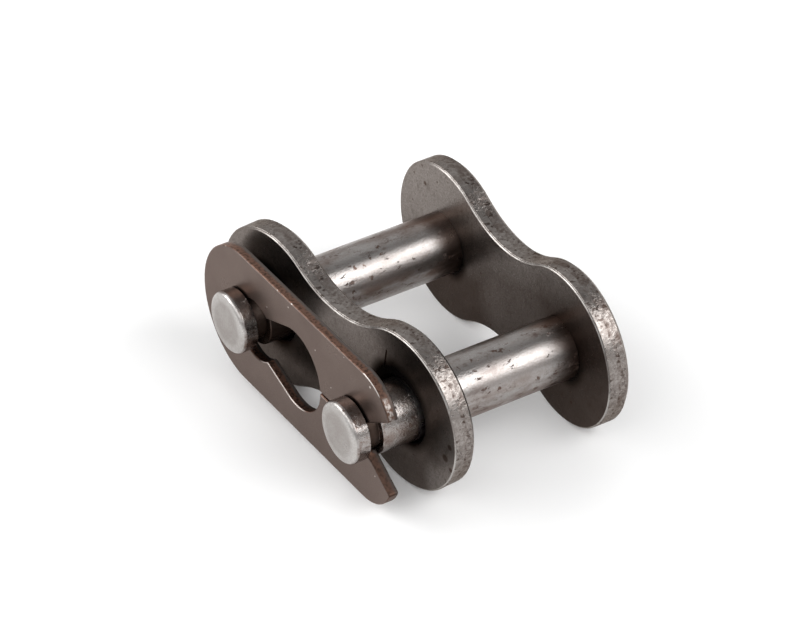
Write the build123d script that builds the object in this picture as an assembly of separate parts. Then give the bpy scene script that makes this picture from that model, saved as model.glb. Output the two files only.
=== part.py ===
from build123d import *
from math import atan2, cos, degrees, radians, sin, sqrt, tan
import os

# Spring-clip connecting link for roller chain of 12.7 mm pitch. Millimetres.
# X runs along the chain from the closed-end pin to the open-end pin, 0 midway between them.
# Y runs along the pins, from their free ends to the rivet heads, 0 at half the pins' length.
# Z is up, 0 where the link plates stand on their round lobes.

# Chain pitch, from pin centre to pin centre
pitch = 12.70

# Link plates: two round lobes joined by concave waist arcs
plate_end_radius = 5.20
plate_waist_radius = 7.20
plate_thickness = 1.50
plate_rolled_edge = 0.22  # bevelled rim, on the side where the punch entered
plate_sheared_edge = 0.12  # broken rim, on the other side
inner_width = 12.225  # between the plates, when the cover plate lies against the clip
cover_setback = 1.945  # from the clip to the cover plate's middle, as the plate has slid back along the pins
cover_turn = 5.0  # degrees, by which the loose cover plate hangs askew, its closed end towards the clip
cover_hole_clearance = 0.22  # radial, around a pin in the cover plate
cover_hole_break = 0.10

# Pins
pin_radius = 1.98
head_length = 1.10  # from the free end to the clip groove
head_round = 0.33
groove_depth = 0.48
groove_rim_break = 0.05
rivet_overhang = 0.32  # radial, beyond the pin's hole
rivet_bevel = 0.85  # radial width of the spun bevel
rivet_rim_height = 0.12
rivet_height = 0.40

# Spring clip
clip_thickness = 0.70
clip_end_play = 0.15  # along the pins, shared by the clip's two sides in the groove
clip_inset = 0.60  # from the plates' outline in to the clip's outer edge
clip_seat_clearance = 0.05  # radial, between a groove's core and its seat
clip_relief_clearance = 0.55  # radial, of the round relief beside the closed-end seat
clip_relief_offset = 1.50  # from the closed-end pin to the relief's centre
clip_neck_clearance = 0.12  # each side, where a groove's core passes from relief to window
clip_window_clearance = 0.72  # radial, around a pin head in the window
clip_window_taper = 20.5  # degrees, of the window's straight sides to the pitch line
clip_slit_length = 2.35  # between the window and the open-end seat
clip_slit_width = 0.20
clip_throat_grip = 0.45  # each side, by which the legs must spring apart to pass a core
clip_flare_angle = 33.0  # degrees, of the legs' lead-in to the pitch line
clip_tip_reach = 3.95  # from the open-end pin to the end of the legs' outer rounding
clip_tip_round = 3.10
clip_corner_round = 0.15
clip_rim_break = 0.06

# Sizes that follow from those above
groove_width = clip_thickness + clip_end_play
core_radius = pin_radius - groove_depth
rivet_radius = pin_radius + rivet_overhang
clip_half_width = plate_end_radius - clip_inset
seat_radius = core_radius + clip_seat_clearance
relief_radius = core_radius + clip_relief_clearance
neck_half_width = core_radius + clip_neck_clearance
window_radius = pin_radius + clip_window_clearance
throat_half_width = core_radius - clip_throat_grip

# Places along the pins, from their free ends
groove_end = head_length + groove_width
clip_front = head_length + clip_end_play / 2
clip_back = clip_front + clip_thickness
cover_front = clip_back + cover_setback
rear_front = clip_back + plate_thickness + inner_width
rivet_seat = rear_front + plate_thickness
pin_length = rivet_seat + rivet_height

# Places in the frame
free_end_y = -pin_length / 2
axis_height = plate_end_radius
closed_end_x = -pitch / 2
open_end_x = pitch / 2


def drawing_plane(from_free_end):
    """Plane across the pins, seen from the clip side, with its origin midway between the pins."""
    origin = (0, free_end_y + from_free_end, axis_height)
    return Plane(origin=origin, x_dir=(1, 0, 0), z_dir=(0, -1, 0))


def link_plate(front, hole_radius):
    """Plate with two pin holes, its clip-side face at the given distance from the free ends."""
    waist_height = sqrt((plate_end_radius + plate_waist_radius) ** 2 - (pitch / 2) ** 2)
    lean = degrees(atan2(waist_height, pitch / 2))
    lobe_turn = 360 - 2 * lean
    waist_turn = 2 * lean - 180
    with BuildPart() as plate:
        with BuildSketch(drawing_plane(front + plate_thickness)):
            with BuildLine():
                CenterArc((open_end_x, 0), plate_end_radius, lean - 180, lobe_turn)
                CenterArc((0, waist_height), plate_waist_radius, -lean, waist_turn)
                CenterArc((closed_end_x, 0), plate_end_radius, lean, lobe_turn)
                CenterArc((0, -waist_height), plate_waist_radius, 180 - lean, waist_turn)
            make_face()
            with Locations((closed_end_x, 0), (open_end_x, 0)):
                Circle(hole_radius, mode=Mode.SUBTRACT)
        extrude(amount=plate_thickness)
        broad_faces = plate.faces().sort_by(Axis.Y)
        sheared_rim = broad_faces[0].outer_wire().edges()
        rolled_rim = broad_faces[-1].outer_wire().edges()
        chamfer(rolled_rim, plate_rolled_edge)
        chamfer(sheared_rim, plate_sheared_edge)
    return plate.part


def cover_plate():
    """Loose plate, its holes broken at both faces so that it slips over the pins, turned within its play."""
    plate = link_plate(cover_front, pin_radius + cover_hole_clearance)
    broad_faces = plate.faces().sort_by(Axis.Y)
    hole_rims = [w.edges() for f in (broad_faces[0], broad_faces[-1]) for w in f.inner_wires()]
    plate = chamfer([edge for rim in hole_rims for edge in rim], cover_hole_break)
    upright = Axis((0, free_end_y + cover_front + plate_thickness / 2, 0), (0, 0, 1))
    return plate.rotate(upright, cover_turn)


def corner(sketch, radius, along):
    """The sketch's corner nearest to a place on the pin's profile."""
    return sketch.vertices().sort_by_distance((radius, along, 0))[0]


def chain_pin(x):
    """Turned pin: rounded free end, clip groove, plain shank, and a rivet head spun over the rear plate."""
    with BuildPart() as pin:
        with BuildSketch() as profile:
            with BuildLine():
                Polyline(
                    (0, 0),
                    (pin_radius, 0),
                    (pin_radius, head_length),
                    (core_radius, head_length),
                    (core_radius, groove_end),
                    (pin_radius, groove_end),
                    (pin_radius, rivet_seat),
                    (rivet_radius, rivet_seat),
                    (rivet_radius, rivet_seat + rivet_rim_height),
                    (rivet_radius - rivet_bevel, pin_length),
                    (0, pin_length),
                    close=True,
                )
            make_face()
            fillet(corner(profile, pin_radius, 0), head_round)
            for along in (head_length, groove_end):
                chamfer(corner(profile, pin_radius, along), groove_rim_break)
        revolve(axis=Axis.Y)
    return Pos(x, free_end_y, axis_height) * pin.part


def clip_blank():
    """Outer outline of the clip: a round closed end, parallel sides and two rounded leg ends."""
    round_x = open_end_x + clip_tip_reach - clip_tip_round
    round_height = clip_half_width - clip_tip_round
    with BuildLine() as outline:
        closed_end = CenterArc((closed_end_x, 0), clip_half_width, 90, 180)
        lower_tip = CenterArc((round_x, -round_height), clip_tip_round, -90, 90)
        upper_tip = CenterArc((round_x, round_height), clip_tip_round, 0, 90)
        Line(closed_end @ 1, lower_tip @ 0)
        Line(lower_tip @ 1, upper_tip @ 0)
        Line(upper_tip @ 1, closed_end @ 0)
    return make_face(outline.line)


def cut_circle(x, radius):
    """Round opening on the pitch line."""
    with Locations((x, 0)):
        Circle(radius, mode=Mode.SUBTRACT)


def cut_between(*upper_edge):
    """Opening from an upper edge down to its mirror image across the pitch line."""
    lower_edge = [(x, -height) for x, height in reversed(upper_edge)]
    Polygon(*upper_edge, *lower_edge, align=None, mode=Mode.SUBTRACT)


def spring_clip():
    """Flat spring: closed-end seat, relief, window for the pin head, slit, open-end seat and flared legs."""
    relief_x = closed_end_x + clip_relief_offset
    window_x = open_end_x - seat_radius - clip_slit_length - window_radius
    tip_x = open_end_x + clip_tip_reach

    # the window's straight sides touch its round end and run down to the neck
    taper = radians(clip_window_taper)
    touch_x = window_x - window_radius * sin(taper)
    touch_height = window_radius * cos(taper)
    neck_x = touch_x - (touch_height - neck_half_width) / tan(taper)

    # the throat lies on the open-end seat's edge, and the flare opens from it
    throat_x = open_end_x + sqrt(seat_radius**2 - throat_half_width**2)
    mouth_half_width = throat_half_width + (tip_x - throat_x) * tan(radians(clip_flare_angle))

    with BuildPart() as clip:
        with BuildSketch(drawing_plane(clip_back)):
            add(clip_blank())
            cut_circle(closed_end_x, seat_radius)
            cut_circle(relief_x, relief_radius)
            cut_between((relief_x, neck_half_width), (neck_x, neck_half_width), (touch_x, touch_height))
            cut_circle(window_x, window_radius)
            cut_between((window_x, clip_slit_width / 2), (open_end_x, clip_slit_width / 2))
            cut_circle(open_end_x, seat_radius)
            cut_between((throat_x, throat_half_width), (tip_x, mouth_half_width))
        extrude(amount=clip_thickness)
        corners = clip.edges().filter_by(Axis.Y)
        tips = corners.sort_by(Axis.X)[-2:]
        throat = corners.filter_by(lambda edge: abs(edge.center().X - throat_x) < 1e-4)
        fillet(tips + throat, clip_corner_round)
        broad_faces = clip.faces().sort_by(Axis.Y)
        chamfer(broad_faces[0].edges() + broad_faces[-1].edges(), clip_rim_break)
    return clip.part


nodes = {
    "rear_plate": link_plate(rear_front, pin_radius),
    "cover_plate": cover_plate(),
    "closed_end_pin": chain_pin(closed_end_x),
    "open_end_pin": chain_pin(open_end_x),
    "spring_clip": spring_clip(),
}

os.makedirs("parts", exist_ok=True)
for name, solid in nodes.items():
    export_step(solid, f"parts/{name}.step")
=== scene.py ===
from math import cos, radians, sin

import bpy
from mathutils import Euler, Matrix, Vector


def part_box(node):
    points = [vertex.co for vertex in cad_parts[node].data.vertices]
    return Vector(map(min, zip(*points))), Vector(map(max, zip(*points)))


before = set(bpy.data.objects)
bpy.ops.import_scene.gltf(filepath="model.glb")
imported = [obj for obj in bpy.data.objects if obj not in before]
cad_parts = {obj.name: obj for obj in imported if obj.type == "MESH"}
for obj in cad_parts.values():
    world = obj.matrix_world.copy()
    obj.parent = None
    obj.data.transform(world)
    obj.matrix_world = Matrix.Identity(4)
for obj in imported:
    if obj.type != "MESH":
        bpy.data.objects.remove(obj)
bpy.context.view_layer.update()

# Metres throughout. X runs along the chain, Y along the pins, Z up.
MM = 0.001

# Camera, at the photograph's viewing angle: degrees, millimetres of lens, and its place
VIEW_AZIMUTH = 57.83
VIEW_ELEVATION = 36.74
VIEW_ROLL = -0.29
VIEW_LENS = 221.98
VIEW_PLACE = Vector((199.75, -126.07, 182.28)) * MM

# White paper floor: half its side, its depth under the link, its shade, and its glow
FLOOR_HALF = 0.6
FLOOR_DEPTH = 0.01 * MM
FLOOR_SHADE = 0.9
FLOOR_LIFT = 0.085

# Softboxes: azimuth and elevation in degrees, width and height in metres, power in watts
SOFTBOX_DISTANCE = 0.6
SOFTBOXES = {
    "softbox_key": (31, 41, 0.5, 0.36, 2.5),
    "softbox_side": (-25, 42, 0.5, 0.36, 0.6),
    "softbox_front": (-75, 42, 0.5, 0.36, 1.0),
    "softbox_left": (-138, 32, 0.5, 0.36, 2.0),
    "softbox_back": (150, 40, 0.8, 0.55, 0.6),
}

# World: brightness at the horizon and overhead, and the height at which the change ends
SKY_HORIZON = 0.9
SKY_OVERHEAD = 0.33
SKY_CHANGE = 0.42


# Places in the part, in metres, read from its solids
def middle(node):
    low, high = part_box(node)
    return (low + high) / 2


PIN_REACH = middle("open_end_pin").x
AXIS_HEIGHT = middle("open_end_pin").z
FREE_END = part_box("open_end_pin")[0].y
CLIP_FRONT, CLIP_BACK = [corner.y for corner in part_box("spring_clip")]
REAR_PLATE_FRONT, REAR_PLATE_BACK = [corner.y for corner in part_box("rear_plate")]

# Sizes that the boxes don't give: a pin's shank, and the cover plate's turn in degrees
PIN_RADIUS = 1.98 * MM
COVER_TURN = 5.0


def rgb(red, green, blue):
    return (red, green, blue, 1.0)


# Colours of the plates: their broad faces, then their rims, then their reflections at a glancing angle
# PLATE_CLEAN_SHEEN and PLATE_DULL_SHEEN are steel colours that paint light where the faces' painted
# sheen shows
PLATE_CLEAN_SHEEN = rgb(0.28, 0.256, 0.242)
PLATE_DULL_SHEEN = rgb(0.24, 0.216, 0.202)
PLATE_SOOT = rgb(0.02, 0.013, 0.01)
PLATE_SMUDGE = rgb(0.045, 0.03, 0.024)
PLATE_RUST = rgb(0.05, 0.026, 0.018)
PLATE_GREASE_SHADOW = rgb(0.026, 0.023, 0.021)
RIM_DULL = rgb(0.15, 0.124, 0.112)
RIM_BRIGHT = rgb(0.29, 0.264, 0.248)
RIM_SHEARED = rgb(0.33, 0.308, 0.292)
RIM_GRIME = rgb(0.085, 0.058, 0.047)
RIM_CRACK = rgb(0.035, 0.022, 0.018)
RIM_PRICK = rgb(0.05, 0.032, 0.025)
FRONT_ARRIS_HIGHLIGHT = rgb(0.45, 0.43, 0.41)
REAR_ARRIS_LIFT = rgb(0.42, 0.395, 0.38)
PLATE_GLANCE = rgb(0.5, 0.46, 0.43)
GREASE_SHADOW_GLANCE = rgb(0.12, 0.1, 0.09)

# Colours of the pins
PIN_GROUND = rgb(0.37, 0.352, 0.342)
PIN_FACE = rgb(0.385, 0.365, 0.35)
PIN_CROWN = rgb(0.5, 0.485, 0.47)
PIN_GRAIN = rgb(0.24, 0.2, 0.18)
PIN_STAIN = rgb(0.16, 0.108, 0.086)
PIN_RUST = rgb(0.09, 0.048, 0.034)
PIN_CAKE_SHADE = rgb(0.04, 0.026, 0.02)
PIN_ROOT_SHADE = rgb(0.085, 0.055, 0.043)
PIN_GLANCE = rgb(0.95, 0.93, 0.92)
CAKE_SHADE_GLANCE = rgb(0.2, 0.15, 0.12)

# Colours of the clip
CLIP_BRONZE = rgb(0.132, 0.104, 0.093)
CLIP_DEEP = rgb(0.114, 0.088, 0.079)
CLIP_PAINTED_LIGHT = rgb(0.2, 0.163, 0.148)
CLIP_GRAIN = rgb(0.085, 0.056, 0.045)
CLIP_WALL = rgb(0.13, 0.115, 0.107)
CLIP_RUST = rgb(0.2, 0.108, 0.076)
CLIP_OLD_RUST = rgb(0.07, 0.038, 0.028)
CLIP_MOUTH_SHADE = rgb(0.03, 0.02, 0.016)
CLIP_POLISH = rgb(0.26, 0.235, 0.22)
CLIP_BRIGHT = rgb(0.6, 0.56, 0.53)
CLIP_GLANCE = rgb(0.9, 0.82, 0.78)


# Materials

class Nodes:
    """Shader nodes of a material or world."""

    def __init__(self, owner):
        self.owner = owner
        owner.use_nodes = True
        self.tree = owner.node_tree
        self.tree.nodes.clear()

    def node(self, kind, inputs=None, **settings):
        made = self.tree.nodes.new(kind)
        for key, value in settings.items():
            setattr(made, key, value)
        for key, value in (inputs or {}).items():
            if isinstance(value, bpy.types.NodeSocket):
                self.tree.links.new(value, made.inputs[key])
            else:
                made.inputs[key].default_value = value
        return made

    def math(self, operation, a, b=0.0):
        return self.node("ShaderNodeMath", {0: a, 1: b}, operation=operation).outputs[0]

    def step(self, value, low, high, to=(0.0, 1.0)):
        """Smooth change from one level to another as a value rises from low to high."""
        inputs = {"Value": value, "From Min": low, "From Max": high, "To Min": to[0], "To Max": to[1]}
        smooth = self.node("ShaderNodeMapRange", inputs, interpolation_type="SMOOTHSTEP")
        return smooth.outputs["Result"]


class Finish(Nodes):
    """A procedural metal finish, patterned in the piece's own millimetres."""

    def __init__(self, name, origin=(0, 0, 0), turn=0.0):
        super().__init__(bpy.data.materials.new(name))
        inputs = {
            "Vector": self.node("ShaderNodeTexCoord").outputs["Object"],
            "Location": origin,
            "Rotation": (0, 0, radians(turn)),
            "Scale": (MM, MM, MM),
        }
        self.place = self.node("ShaderNodeMapping", inputs, vector_type="TEXTURE").outputs["Vector"]
        axes = self.node("ShaderNodeSeparateXYZ", {"Vector": self.place}).outputs
        self.along, self.through, self.up = axes

    def measure(self, operation, a, b=(0.0, 0.0, 0.0)):
        """Number that a vector operation gives."""
        return self.node("ShaderNodeVectorMath", {0: a, 1: b}, operation=operation).outputs["Value"]

    def noise(self, size, stretch=(1, 1, 1), detail=3.0, roughness=0.55, seed=0.0):
        """Cloudy noise from 0 to 1, its grain in millimetres, stretched by a factor along each axis."""
        scale = tuple(1 / factor for factor in stretch)
        place = self.node("ShaderNodeMapping", {"Vector": self.place, "Scale": scale}).outputs["Vector"]
        inputs = {
            "Vector": place,
            "W": seed,
            "Scale": 1 / size,
            "Detail": detail,
            "Roughness": roughness,
        }
        return self.node("ShaderNodeTexNoise", inputs, noise_dimensions="4D").outputs["Fac"]

    def dots(self, spacing, radius, share, seed=0.0):
        """Round marks scattered over the broad faces, on a share of the places where they could be."""
        place = self.node("ShaderNodeCombineXYZ", {"X": self.along, "Y": self.up, "Z": seed}).outputs[0]
        inputs = {"Vector": place, "Scale": 1 / spacing}
        cells = self.node("ShaderNodeTexVoronoi", inputs, voronoi_dimensions="3D").outputs
        chosen = self.node("ShaderNodeSeparateColor", {"Color": cells["Color"]}).outputs["Red"]
        near = self.step(cells["Distance"], 0.6 * radius / spacing, radius / spacing, to=(1.0, 0.0))
        return self.all_of(near, self.step(chosen, share - 0.01, share + 0.01, to=(1.0, 0.0)))

    def from_axis(self, aside=0.0, above=0.0):
        """Distance over the broad faces from the nearer pin's axis, or from a place beside it."""
        along = self.math("SUBTRACT", self.beside(), aside)
        up = self.math("SUBTRACT", self.up, above)
        offset = self.node("ShaderNodeCombineXYZ", {"X": along, "Y": up}).outputs[0]
        return self.measure("LENGTH", offset)

    def beside(self):
        """Distance along the chain from the nearer pin's axis."""
        nearer = self.math("MULTIPLY", self.math("SIGN", self.along), PIN_REACH / MM)
        return self.math("SUBTRACT", self.along, nearer)

    def from_point(self, place):
        """Offset over a broad face from a place on it, along and up in millimetres."""
        here = self.node("ShaderNodeCombineXYZ", {"X": self.along, "Y": self.up}).outputs[0]
        ends = {0: here, 1: (*place, 0.0)}
        return self.node("ShaderNodeVectorMath", ends, operation="SUBTRACT").outputs["Vector"]

    def marks(self, *marks):
        """Round marks at places on the broad faces, each given along, up and by its radius."""
        shares = []
        for along, up, radius in marks:
            distance = self.measure("LENGTH", self.from_point((along, up)))
            shares.append(self.step(distance, 0.5 * radius, radius, to=(1.0, 0.0)))
        return self.any_of(*shares)

    def blots(self, *blots):
        """Ragged marks on the pins' shanks, each given by its side, reach, turn and radius."""
        grit = self.noise(0.16, detail=4, seed=61)
        ragged = self.math("MULTIPLY", self.math("SUBTRACT", grit, 0.5), 0.7)
        shares = []
        for side, reach, turn, radius in blots:
            along = (side * PIN_REACH + PIN_RADIUS * cos(radians(turn))) / MM
            up = PIN_RADIUS * sin(radians(turn)) / MM
            distance = self.measure("DISTANCE", self.place, (along, reach, up))
            distance = self.math("ADD", distance, ragged)
            shares.append(self.step(distance, 0.4 * radius, radius, to=(1.0, 0.0)))
        return self.any_of(*shares)

    def scratch(self, start, end, width):
        """Straight mark on the broad faces, from one place to another."""
        line = Vector(end) - Vector(start)
        way = line.normalized()
        offset = self.from_point(start)
        run = self.measure("DOT_PRODUCT", offset, (way.x, way.y, 0.0))
        aside = self.measure("DOT_PRODUCT", offset, (-way.y, way.x, 0.0))
        within_width = self.band(aside, -width / 4, width / 4, width / 4)
        return self.all_of(self.band(run, 0.0, line.length, 0.1), within_width)

    def band(self, value, low, high, soft):
        """1 between two levels, falling off to 0 over a soft width outside them."""
        over_low = self.step(value, low - soft, low)
        under_high = self.step(value, high, high + soft, to=(1.0, 0.0))
        return self.all_of(over_low, under_high)

    def all_of(self, *shares):
        result = shares[0]
        for share in shares[1:]:
            result = self.math("MULTIPLY", result, share)
        return result

    def any_of(self, *shares):
        result = shares[0]
        for share in shares[1:]:
            result = self.math("MAXIMUM", result, share)
        return result

    def colour(self, share, a, b):
        """Colour a, giving way to b by a share."""
        return self.node("ShaderNodeMix", {0: share, 6: a, 7: b}, data_type="RGBA").outputs[2]

    def level(self, share, a, b):
        """Number a, giving way to b by a share."""
        return self.node("ShaderNodeMix", {0: share, 2: a, 3: b}, data_type="FLOAT").outputs[0]

    def relief(self, *layers):
        """Normal from layers of relief, each a height and its depth in millimetres."""
        inputs = {}
        for height, depth in layers:
            inputs.update({"Height": height, "Distance": depth * MM})
            inputs["Normal"] = self.node("ShaderNodeBump", inputs).outputs["Normal"]
        return inputs["Normal"]

    def metal(self, colour, roughness, normal, edge):
        """Metal shader, its glancing reflection toned down to an edge colour."""
        inputs = {
            "Base Color": colour,
            "Metallic": 1.0,
            "Roughness": roughness,
            "Normal": normal,
            "Specular Tint": edge,
        }
        shader = self.node("ShaderNodeBsdfPrincipled", inputs)
        self.node("ShaderNodeOutputMaterial", {"Surface": shader.outputs["BSDF"]})
        return self.owner


def plate_steel(name, origin, turn, stain_and_shade, painted_sheen_share, lighter_patches, grime_and_shade, grease_shadow_ring, spots, scratches):
    """Dark hardened steel: stained satin faces with painted light and shade, a rim sheared smooth in
    front and torn behind.
    """
    finish = Finish(name, origin, turn)
    half = (REAR_PLATE_BACK - REAR_PLATE_FRONT) / MM / 2
    cloud = finish.noise(2.4, detail=5)
    grain = finish.noise(0.09, detail=3, seed=3)
    wander = finish.math("MULTIPLY", finish.noise(1.1, detail=4, seed=7), 0.6)

    # where on the plate: its rim, the torn part of the rim, the front arris, partly a painted
    # highlight, and the grease with painted shadow round the pin holes
    outer = finish.step(finish.from_axis(), 4.0, 4.3)
    rim = finish.all_of(outer, finish.band(finish.through, -half + 0.09, half - 0.04, 0.03))
    torn = finish.all_of(rim, finish.step(finish.math("ADD", finish.through, wander), 0.14, 0.2))
    # front arris: bright bare edge with a painted highlight, faded out towards the closed end
    arris = finish.all_of(
        outer,
        finish.band(finish.through, -half + 0.03, -half + 0.08, 0.02),
        finish.step(finish.along, -9.0, -5.5),
        finish.step(finish.noise(1.4, detail=5, seed=8), 0.4, 0.56, to=(0.2, 1.0)),
    )
    # grease round the pin holes, partly painted shadow: the pins' shadow and dark reflection, offset to
    # one side
    aside, above, grease_shadow_reach = grease_shadow_ring
    from_grease_shadow = finish.math("ADD", finish.from_axis(aside, above), wander)
    grease_and_shadow = finish.step(from_grease_shadow, grease_shadow_reach - 0.2, grease_shadow_reach + 0.8, to=(1.0, 0.0))

    # broad faces: stained, with painted light lifting them upward and towards the closed end, lighter
    # patches at listed places, then smudges, rust, scratches, and grease with painted shadow
    # painted light: the faces grow lighter upward and towards the closed end, standing in for light
    # that they mirror
    rise = finish.math("SUBTRACT", finish.up, finish.math("MULTIPLY", finish.along, 0.35))
    painted_sheen_mask = finish.step(finish.math("ADD", rise, finish.math("MULTIPLY", cloud, 2.0)), 0.5, 5.0)
    # the stain's colour is set per plate: darker on the rear plate as painted shade, lighter on the
    # cover as painted light
    stained_and_shaded = finish.colour(finish.step(cloud, 0.35, 0.65, to=(0.0, 0.18)), stain_and_shade, PLATE_SOOT)
    clean_and_sheen = finish.colour(finish.step(grain, 0.35, 0.65), PLATE_CLEAN_SHEEN, PLATE_DULL_SHEEN)
    # lighter patches at listed places: partly worn steel, partly painted light
    patch_share, patch_places = lighter_patches
    lightened = finish.all_of(finish.marks(*patch_places), patch_share)
    colour = finish.colour(finish.any_of(finish.all_of(painted_sheen_mask, painted_sheen_share), lightened), stained_and_shaded, clean_and_sheen)
    smudges = finish.noise(0.35, stretch=(1, 1, 2), detail=5, roughness=0.7, seed=51)
    dark = finish.any_of(
        finish.step(smudges, 0.5, 0.7, to=(0.0, 0.4)),
        finish.step(grain, 0.5, 0.7, to=(0.0, 0.35)),
    )
    colour = finish.colour(dark, colour, PLATE_SMUDGE)
    front = finish.step(finish.through, -0.1, 0.1, to=(1.0, 0.0))
    spotted = finish.all_of(front, finish.marks(*spots))
    rust = finish.any_of(spotted, finish.dots(1.3, 0.1, 0.4), finish.dots(0.8, 0.06, 0.4, seed=4.0))
    colour = finish.colour(finish.all_of(rust, 0.75), colour, PLATE_RUST)
    scored = finish.any_of(0.0, *[finish.scratch(*scratch) for scratch in scratches])
    scored = finish.all_of(front, scored)
    colour = finish.colour(scored, colour, PLATE_SOOT)
    colour = finish.colour(grease_and_shadow, colour, PLATE_GREASE_SHADOW)

    # rim: mottled, with cracks, grime and pricks in it, the grime's share set per plate as painted
    # shade, and bright arrises: the front one partly a painted highlight, the rear one painted light
    mottle = finish.noise(0.22, stretch=(1, 1.2, 1), detail=5, roughness=0.65, seed=11)
    crease = finish.noise(0.7, stretch=(1, 1.8, 1), detail=4, seed=17)
    ridge = finish.math("ABSOLUTE", finish.math("SUBTRACT", crease, 0.5))
    cracks = finish.all_of(
        finish.step(ridge, 0.003, 0.012, to=(1.0, 0.0)),
        finish.step(finish.noise(1.2, detail=2, seed=19), 0.54, 0.6),
    )
    dirt = finish.noise(0.9, stretch=(1, 0.7, 1), detail=5, roughness=0.65, seed=29)
    edge = finish.colour(finish.step(mottle, 0.34, 0.62), RIM_DULL, RIM_BRIGHT)
    # grime on the rim: real dirt, its share set per plate, more on the rear plate as painted shade
    edge = finish.colour(finish.all_of(finish.step(dirt, 0.46, 0.62), grime_and_shade), edge, RIM_GRIME)
    edge = finish.colour(finish.all_of(cracks, 0.75), edge, RIM_CRACK)
    sheared = finish.math("SUBTRACT", 1.0, torn)
    edge = finish.colour(finish.all_of(sheared, 0.3), edge, RIM_SHEARED)
    grit = finish.noise(0.26, stretch=(1, 1.3, 1), detail=4, seed=37)
    edge = finish.colour(finish.all_of(finish.step(grit, 0.58, 0.64), 0.8), edge, RIM_PRICK)
    # rear arris lightened: painted light where it would mirror the shadowed floor
    rear_arris_lift = finish.band(finish.through, half - 0.2, half - 0.05, 0.05)
    edge = finish.colour(finish.all_of(rear_arris_lift, 0.5), edge, REAR_ARRIS_LIFT)
    colour = finish.colour(rim, colour, edge)
    colour = finish.colour(arris, colour, FRONT_ARRIS_HIGHLIGHT)

    # gloss and relief
    satin = finish.step(grain, 0.3, 0.7, to=(0.27, 0.34))
    roughness = finish.level(rim, satin, finish.step(mottle, 0.35, 0.6, to=(0.4, 0.25)))
    roughness = finish.level(grease_and_shadow, roughness, 0.5)
    tears = finish.noise(0.26, stretch=(1, 1.5, 1), detail=5, roughness=0.6, seed=11)
    shelf = finish.math("SUBTRACT", 1.0, finish.any_of(cracks, torn))
    normal = finish.relief(
        (finish.math("SUBTRACT", grain, finish.math("MULTIPLY", scored, 8.0)), 0.004),
        (finish.all_of(mottle, rim), 0.02),
        (finish.all_of(tears, torn), 0.05),
        (finish.all_of(shelf, rim), 0.015),
    )
    glance = finish.colour(grease_and_shadow, PLATE_GLANCE, GREASE_SHADOW_GLANCE)
    return finish.metal(colour, roughness, normal, glance)


# Rust on the pins' shanks: side (-1 for the closed end, 1 for the open end), millimetres from the free
# end, degrees up from the chain's line, and the radius in millimetres
PIN_BLOTS = (
    (-1, 8.1, 59, 0.14),
    (-1, 8.4, 53, 0.14),
    (-1, 9.0, 51, 0.14),
    (-1, 10.5, 76, 0.14),
    (-1, 9.6, 62, 0.12),
    (-1, 9.2, 27, 0.16),
    (-1, 7.8, 13, 0.16),
    (1, 10.6, 80, 0.18),
    (1, 11.0, 76, 0.22),
    (1, 9.0, 78, 0.18),
    (1, 8.0, 73, 0.12),
    (1, 12.6, -20, 0.24),
    (1, 10.2, -27, 0.14),
    (1, 12.7, 4, 0.14),
    (1, 10.0, 13, 0.16),
)


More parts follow.
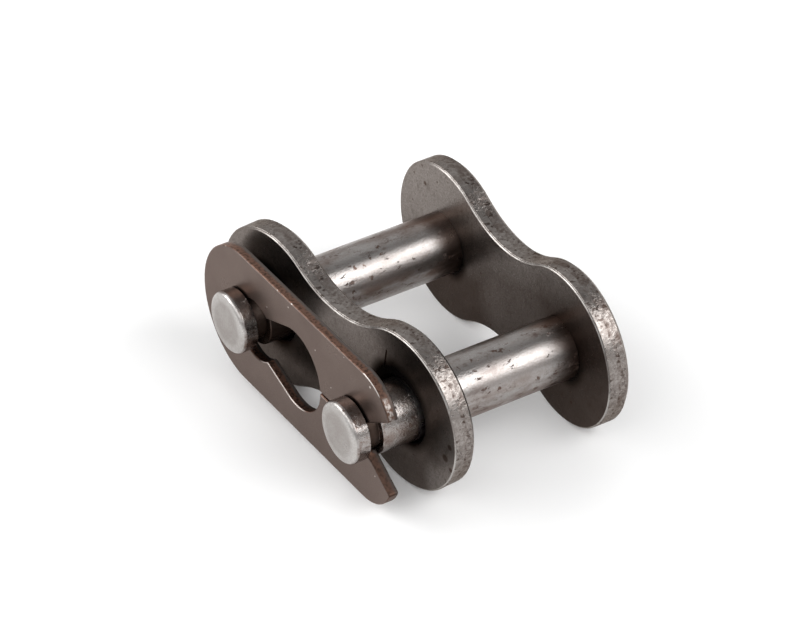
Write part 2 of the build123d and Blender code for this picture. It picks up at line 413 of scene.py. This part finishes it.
def pin_steel():
    """Ground steel, pitted and stained with rust, with painted shade in the clip groove, behind the
    clip and at the rear plate.
    """
    finish = Finish("pin_steel", (0, FREE_END, AXIS_HEIGHT))
    clip_front, clip_back = [(place - FREE_END) / MM for place in (CLIP_FRONT, CLIP_BACK)]
    rear_front, rear_back = [(place - FREE_END) / MM for place in (REAR_PLATE_FRONT, REAR_PLATE_BACK)]
    radius = finish.from_axis()
    cloud = finish.noise(1.5, stretch=(1, 2.5, 1), detail=5, roughness=0.6)
    grain = finish.noise(0.12, detail=4, roughness=0.6, seed=3)
    streak = finish.noise(0.45, stretch=(1, 6, 1), detail=4, seed=5)

    # where along the pin: the face and its crown, the groove, the root at the rear plate with its
    # painted shade, the stretch from the head to the cover plate, and the rivet head
    face = finish.step(finish.through, 0.1, 0.2, to=(1.0, 0.0))
    crown = finish.all_of(face, finish.step(radius, 1.2, 1.55))
    groove = finish.band(finish.through, clip_front - 0.055, clip_back + 0.025, 0.06)
    closed_end = finish.step(finish.along, -1.0, 1.0, to=(1.0, 0.0))
    # root: rust and grease where the pin meets the rear plate, with painted shade, starting earlier on
    # the closed-end pin
    from_root = finish.math("ADD", finish.through, finish.math("MULTIPLY", cloud, 1.4))
    from_root = finish.math("ADD", from_root, finish.math("MULTIPLY", closed_end, 0.5))
    root_dirt_and_shade = finish.all_of(
        finish.step(from_root, rear_front - 0.8, rear_front + 0.5),
        finish.step(finish.through, rear_front + 0.8, rear_front + 1.2, to=(1.0, 0.0)),
    )
    front = finish.band(finish.through, 0.32, 4.4, 0.1)
    exposed = finish.step(finish.through, rear_back - 0.1, rear_back, to=(1.0, 0.4))

    # ground steel under stains, pits and scabs of rust, thinned towards the light as a painted
    # highlight, and the dirt caked in front with painted shade and shadow
    colour = finish.colour(face, PIN_GROUND, PIN_FACE)
    colour = finish.colour(crown, colour, PIN_CROWN)
    colour = finish.colour(finish.all_of(finish.step(grain, 0.4, 0.6), 0.25), colour, PIN_GRAIN)
    blotch = finish.noise(0.9, detail=4, roughness=0.6, seed=27)
    speck = finish.noise(0.14, detail=3, roughness=0.6, seed=31)
    sides = finish.step(finish.math("ABSOLUTE", finish.math("SUBTRACT", finish.up, 0.3)), 0.9, 1.9)
    # the stain thins on the side towards the light: a painted highlight
    toward_light = finish.math("ADD", finish.beside(), finish.up)
    lightened = finish.step(toward_light, 2.0, 2.7, to=(1.0, 0.3))
    # stains heavier on the closed-end pin: painted shade
    stain_and_shade = finish.any_of(
        finish.all_of(finish.step(streak, 0.5, 0.64), 0.4),
        finish.all_of(
            finish.step(cloud, 0.4, 0.62),
            finish.step(finish.along, -1.0, 1.0, to=(0.9, 0.8)),
        ),
        finish.all_of(front, finish.step(blotch, 0.3, 0.72), 0.8),
        finish.all_of(front, sides, finish.step(finish.along, -1.0, 1.0, to=(0.9, 0.35))),
    )
    stain_and_shade = finish.any_of(
        finish.all_of(stain_and_shade, lightened),
        finish.all_of(front, finish.step(blotch, 0.4, 0.55), finish.step(speck, 0.5, 0.6), 0.8),
    )
    stain_and_shade = finish.all_of(stain_and_shade, exposed, finish.level(face, 1.0, 0.2))
    colour = finish.colour(stain_and_shade, colour, PIN_STAIN)
    pocks = finish.noise(0.3, stretch=(1, 1.8, 1), detail=4, roughness=0.65, seed=9)
    pits = finish.all_of(
        finish.step(pocks, 0.6, 0.64),
        finish.step(finish.noise(1.6, detail=3, seed=21), 0.46, 0.56),
        finish.level(face, 1.0, 0.0),
    )
    crust = finish.noise(0.6, stretch=(1, 2, 1), detail=6, roughness=0.8, seed=41)
    # rust scabs, thinner on the side towards the light: painted highlight
    scabs = finish.all_of(
        finish.step(crust, 0.52, 0.64),
        finish.step(toward_light, 1.9, 2.8, to=(0.85, 0.3)),
        finish.level(face, 1.0, 0.0),
    )
    blots = finish.all_of(finish.blots(*PIN_BLOTS), 0.85)
    rust = finish.all_of(finish.any_of(finish.all_of(pits, 0.75), scabs, blots), exposed)
    colour = finish.colour(rust, colour, PIN_RUST)
    # dirt caked in the groove, painted darker as shade, and a painted shadow on the closed-end pin
    # behind the clip
    clip_shadow = finish.all_of(finish.band(finish.through, 1.2, 4.6, 0.15), closed_end)
    caked_and_shaded = finish.any_of(groove, clip_shadow)
    colour = finish.colour(finish.all_of(caked_and_shaded, 0.9), colour, PIN_CAKE_SHADE)
    colour = finish.colour(finish.all_of(root_dirt_and_shade, 0.85), colour, PIN_ROOT_SHADE)

    # gloss and relief
    satin = finish.level(front, finish.step(cloud, 0.3, 0.7, to=(0.26, 0.37)), 0.25)
    roughness = finish.level(finish.any_of(pits, finish.all_of(caked_and_shaded, 0.7)), satin, 0.6)
    normal = finish.relief((grain, 0.014), (finish.math("SUBTRACT", 1.0, pits), 0.025))
    glance = finish.colour(caked_and_shaded, PIN_GLANCE, CAKE_SHADE_GLANCE)
    return finish.metal(colour, roughness, normal, glance)


# Bright nicks in the clip's front face: along, up and radius in millimetres
CLIP_NICKS = (
    (-0.52, 4.12, 0.07),
    (2.48, 2.86, 0.06),
    (8.55, 4.05, 0.1),
    (5.7, 4.4, 0.05),
    (-3.0, 2.59, 0.05),
    (4.2, 1.2, 0.05),
    (9.0, -2.2, 0.06),
)


def clip_steel():
    """Tempered spring steel, satin and bronze-brown on its faces, rusty along the front of its edge."""
    finish = Finish("clip_steel", middle("spring_clip"))
    half = (CLIP_BACK - CLIP_FRONT) / MM / 2
    cloud = finish.noise(2.6, detail=4)
    grain = finish.noise(0.07, detail=3, seed=3)
    speckle = finish.noise(0.2, detail=4, seed=5)

    # where on the clip: its edge's wall and the rust on it, the struck front arris, the painted shade
    # in the legs' mouth, their polished ends, and the nicks
    wall = finish.band(finish.through, -half + 0.05, half - 0.05, 0.03)
    ragged = finish.math("ADD", finish.through, finish.math("MULTIPLY", speckle, 0.3))
    rust = finish.any_of(
        finish.step(ragged, 0.18, 0.36, to=(1.0, 0.0)),
        finish.all_of(finish.step(ragged, 0.42, 0.48), 0.7),
    )
    arris = finish.band(finish.through, -half + 0.02, -half + 0.045, 0.012)
    struck = finish.any_of(
        finish.all_of(finish.band(finish.along, 7.9, 9.4, 0.2), finish.step(finish.up, 3.0, 3.4)),
        finish.all_of(
            finish.band(finish.along, -3.6, 0.8, 0.5),
            finish.band(finish.up, -3.2, -1.2, 0.2),
            0.8,
        ),
        finish.step(finish.noise(0.8, detail=3, seed=9), 0.66, 0.72),
    )
    arris = finish.all_of(arris, struck)
    height = finish.math("ABSOLUTE", finish.up)
    # painted shade: near-black on the walls inside the legs' mouth and at their ends
    mouth_shade = finish.any_of(
        finish.all_of(
            finish.step(finish.along, 8.0, 8.4),
            finish.step(height, 2.2, 2.5, to=(0.75, 0.0)),
        ),
        finish.step(finish.along, 8.8, 9.6, to=(0.0, 0.75)),
    )
    polished = finish.all_of(
        wall,
        finish.step(finish.along, 9.6, 9.9),
        finish.step(finish.up, 1.0, 1.4),
        finish.band(finish.through, -0.2, 0.05, 0.08),
        finish.step(speckle, 0.4, 0.6),
    )
    front = finish.step(finish.through, -0.1, 0.1, to=(1.0, 0.0))
    nicks = finish.all_of(finish.marks(*CLIP_NICKS), front)

    # bronze faces, painted paler towards the bottom as painted light, then the wall's colours
    colour = finish.colour(finish.step(cloud, 0.3, 0.7), CLIP_BRONZE, CLIP_DEEP)
    colour = finish.colour(finish.step(finish.up, -4.0, 1.0, to=(0.3, 0.0)), colour, CLIP_PAINTED_LIGHT)
    colour = finish.colour(finish.all_of(finish.step(grain, 0.42, 0.66), 0.4), colour, CLIP_GRAIN)
    colour = finish.colour(wall, colour, CLIP_WALL)
    rusty = finish.colour(finish.step(speckle, 0.46, 0.62), CLIP_RUST, CLIP_OLD_RUST)
    colour = finish.colour(finish.all_of(wall, rust, 0.9), colour, rusty)
    colour = finish.colour(finish.all_of(wall, mouth_shade), colour, CLIP_MOUTH_SHADE)
    colour = finish.colour(polished, colour, CLIP_POLISH)
    colour = finish.colour(finish.any_of(arris, nicks), colour, CLIP_BRIGHT)

    # gloss and relief
    roughness = finish.level(wall, finish.step(cloud, 0.3, 0.7, to=(0.27, 0.32)), 0.42)
    normal = finish.relief((grain, 0.004), (finish.all_of(speckle, wall), 0.015))
    return finish.metal(colour, roughness, normal, CLIP_GLANCE)


def dress(node, material):
    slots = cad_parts[node].data.materials
    for index in range(len(slots)):
        slots[index] = material


# Look of each plate, in millimetres along the chain and up from the plate's middle: the stain's colour,
# set darker on the rear plate and lighter on the cover as painted shade and light, how strongly painted
# light lifts the faces, lighter patches with their share, the share of grime on the rim, also set per
# plate as painted shade, grease with painted shadow round the holes by its offset and reach, rust spots
# by place and radius, and scratches by start, end and width
REAR_LOOK = {
    "stain_and_shade": rgb(0.09, 0.075, 0.069),
    "painted_sheen_share": 1.0,
    "lighter_patches": (0.3, ((1.5, -0.5, 5.0),)),
    "grime_and_shade": 0.6,
    "grease_shadow_ring": (0.3, -0.25, 1.95),
    "spots": (
        (-8.6, 3.05, 0.2),
        (-8.94, 4.19, 0.12),
        (-7.24, 3.93, 0.1),
        (-9.86, 3.13, 0.1),
        (7.6, -3.36, 0.14),
    ),
    "scratches": (),
}
COVER_LOOK = {
    "stain_and_shade": rgb(0.155, 0.133, 0.122),
    "painted_sheen_share": 0.6,
    "lighter_patches": (0.8, ((11.8, -0.8, 2.7), (10.3, -3.4, 2.1))),
    "grime_and_shade": 0.25,
    "grease_shadow_ring": (-0.25, 0.3, 2.75),
    "spots": (
        (10.94, 0.0, 0.25),
        (10.52, -1.03, 0.33),
        (11.05, -1.6, 0.2),
        (10.66, -2.8, 0.16),
    ),
    "scratches": (((4.94, 3.5), (4.68, 2.1), 0.16),),
}

rear_finish = plate_steel("rear_plate_steel", middle("rear_plate"), 0.0, **REAR_LOOK)
cover_finish = plate_steel("cover_plate_steel", middle("cover_plate"), COVER_TURN, **COVER_LOOK)
pin_finish = pin_steel()
dress("rear_plate", rear_finish)
dress("cover_plate", cover_finish)
dress("closed_end_pin", pin_finish)
dress("open_end_pin", pin_finish)
dress("spring_clip", clip_steel())


# Floor, light and camera

def direction(azimuth, elevation):
    """Direction in the studio: degrees from +X towards +Y, and degrees above the floor."""
    flat = cos(radians(elevation))
    return Vector((flat * cos(radians(azimuth)), flat * sin(radians(azimuth)), sin(radians(elevation))))


def studio_floor():
    """White paper that keeps the link's shadow and looks white to the camera and in the metal."""
    mesh = bpy.data.meshes.new("floor")
    signs = [(-1, -1), (1, -1), (1, 1), (-1, 1)]
    corners = [(x * FLOOR_HALF, y * FLOOR_HALF, -FLOOR_DEPTH) for x, y in signs]
    mesh.from_pydata(corners, [], [(0, 1, 2, 3)])
    floor = bpy.data.objects.new("floor", mesh)
    bpy.context.scene.collection.objects.link(floor)

    paper = Nodes(bpy.data.materials.new("floor_white"))
    path = paper.node("ShaderNodeLightPath").outputs
    seen = paper.math("MAXIMUM", path["Is Camera Ray"], path["Is Glossy Ray"])
    seen = paper.math("MAXIMUM", seen, path["Is Transmission Ray"])
    shade = rgb(FLOOR_SHADE, FLOOR_SHADE, FLOOR_SHADE)
    matt = paper.node("ShaderNodeBsdfDiffuse", {"Color": shade})
    glow = paper.node("ShaderNodeEmission", {"Strength": paper.math("MULTIPLY", seen, FLOOR_LIFT)})
    both = paper.node("ShaderNodeAddShader", {0: matt.outputs[0], 1: glow.outputs[0]})
    paper.node("ShaderNodeOutputMaterial", {"Surface": both.outputs[0]})
    mesh.materials.append(paper.owner)


def softbox(name, azimuth, elevation, width, height, power):
    """Rectangular lamp that faces the link."""
    lamp = bpy.data.lights.new(name, "AREA")
    lamp.shape = "RECTANGLE"
    lamp.size = width
    lamp.size_y = height
    lamp.energy = power
    holder = bpy.data.objects.new(name, lamp)
    away = direction(azimuth, elevation)
    holder.location = away * SOFTBOX_DISTANCE
    holder.rotation_euler = away.to_track_quat("Z", "Y").to_euler()
    bpy.context.scene.collection.objects.link(holder)


def studio_world():
    """White at the horizon, darker overhead."""
    sky = Nodes(bpy.data.worlds.new("studio"))
    place = sky.node("ShaderNodeTexCoord").outputs["Generated"]
    height = sky.node("ShaderNodeSeparateXYZ", {"Vector": place}).outputs["Z"]
    strength = sky.step(height, 0.0, SKY_CHANGE, to=(SKY_HORIZON, SKY_OVERHEAD))
    light = sky.node("ShaderNodeBackground", {"Strength": strength})
    sky.node("ShaderNodeOutputWorld", {"Surface": light.outputs[0]})
    bpy.context.scene.world = sky.owner


def photo_camera():
    lens = bpy.data.cameras.new("photo_camera")
    lens.lens = VIEW_LENS
    lens.clip_start = 0.01
    holder = bpy.data.objects.new("photo_camera", lens)
    holder.location = VIEW_PLACE
    tilt = Euler((radians(90 - VIEW_ELEVATION), 0, radians(VIEW_AZIMUTH))).to_matrix()
    roll = Euler((0, 0, radians(VIEW_ROLL))).to_matrix()
    holder.rotation_euler = (tilt @ roll).to_euler()
    bpy.context.scene.collection.objects.link(holder)
    bpy.context.scene.camera = holder


studio_floor()
for name, settings in SOFTBOXES.items():
    softbox(name, *settings)
studio_world()
photo_camera()
bpy.context.scene.view_settings.view_transform = "Standard"
